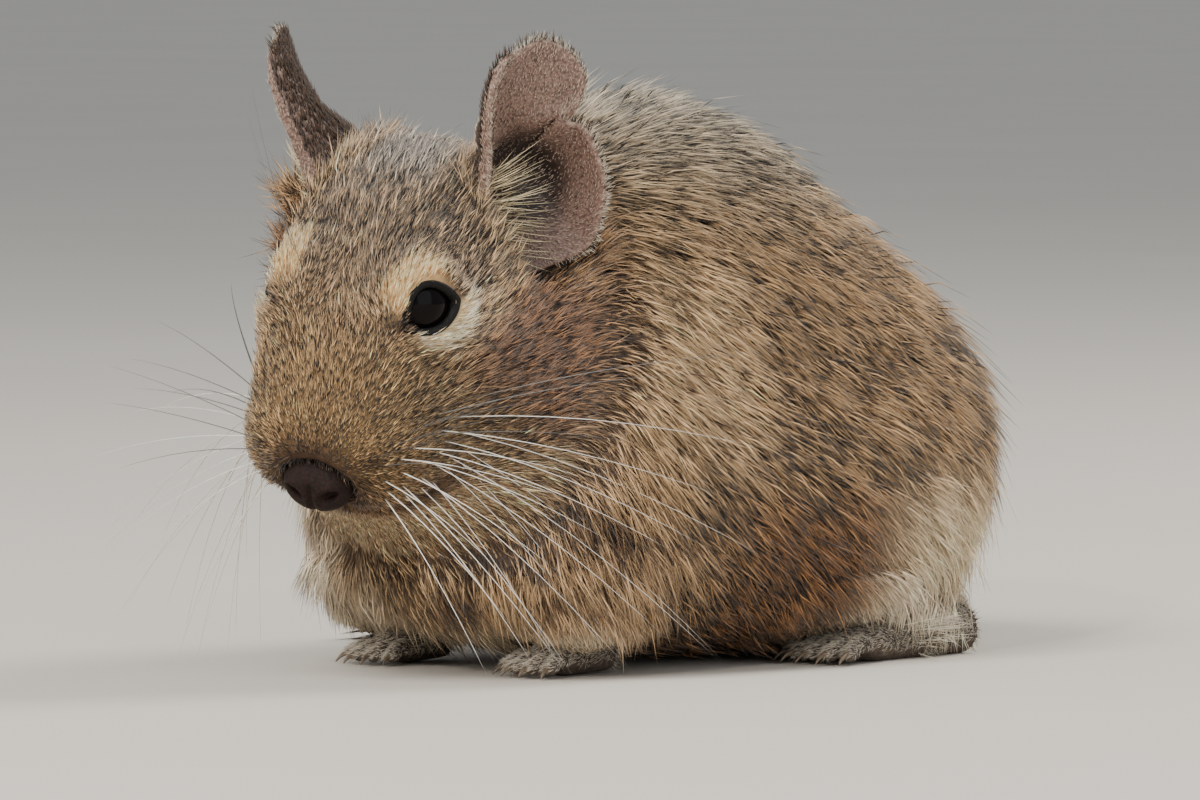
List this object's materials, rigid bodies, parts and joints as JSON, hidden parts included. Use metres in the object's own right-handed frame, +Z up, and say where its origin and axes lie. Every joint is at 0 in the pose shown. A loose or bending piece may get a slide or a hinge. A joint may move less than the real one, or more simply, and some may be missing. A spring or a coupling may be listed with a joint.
{
  "type": "degu",
  "caption": "Life-size still model of a degu crouching on its four feet, head low and turned, tail curled round one side.",
  "frame": {"origin": "on the floor, midway between the furthest points of the figure in X and in Y", "axes": "+Z up, -Y the way the body faces, +X the animal's left"},
  "size_m": [0.0924, 0.1498, 0.0866],
  "materials": {
    "coat": "short dense agouti fur, matt",
    "ear_skin": "thin bare skin with fine short hairs",
    "eye": "wet, glossy black",
    "nose_skin": "moist fine-grained skin",
    "paw": "thinly haired grey skin",
    "claw": "horn, slightly glossy",
    "whisker": "stiff tapered hair",
    "tail_coat": "short bristly hair with a black brush at the tip"
  },
  "bodies": {
    "root": {"head": "coat", "nose": "nose_skin", "ear_left": "ear_skin", "ear_right": "ear_skin", "eye_left": "eye", "eye_right": "eye", "neck": "coat", "torso": "coat", "foreleg_left": "coat", "foreleg_right": "coat", "hindleg_left": "coat", "hindleg_right": "coat", "forepaw_left": "paw", "forepaw_right": "paw", "hindfoot_left": "paw", "hindfoot_right": "paw", "tail_base": "tail_coat", "tail_middle": "tail_coat", "tail_tip": "tail_coat"}
  },
  "joints": []
}
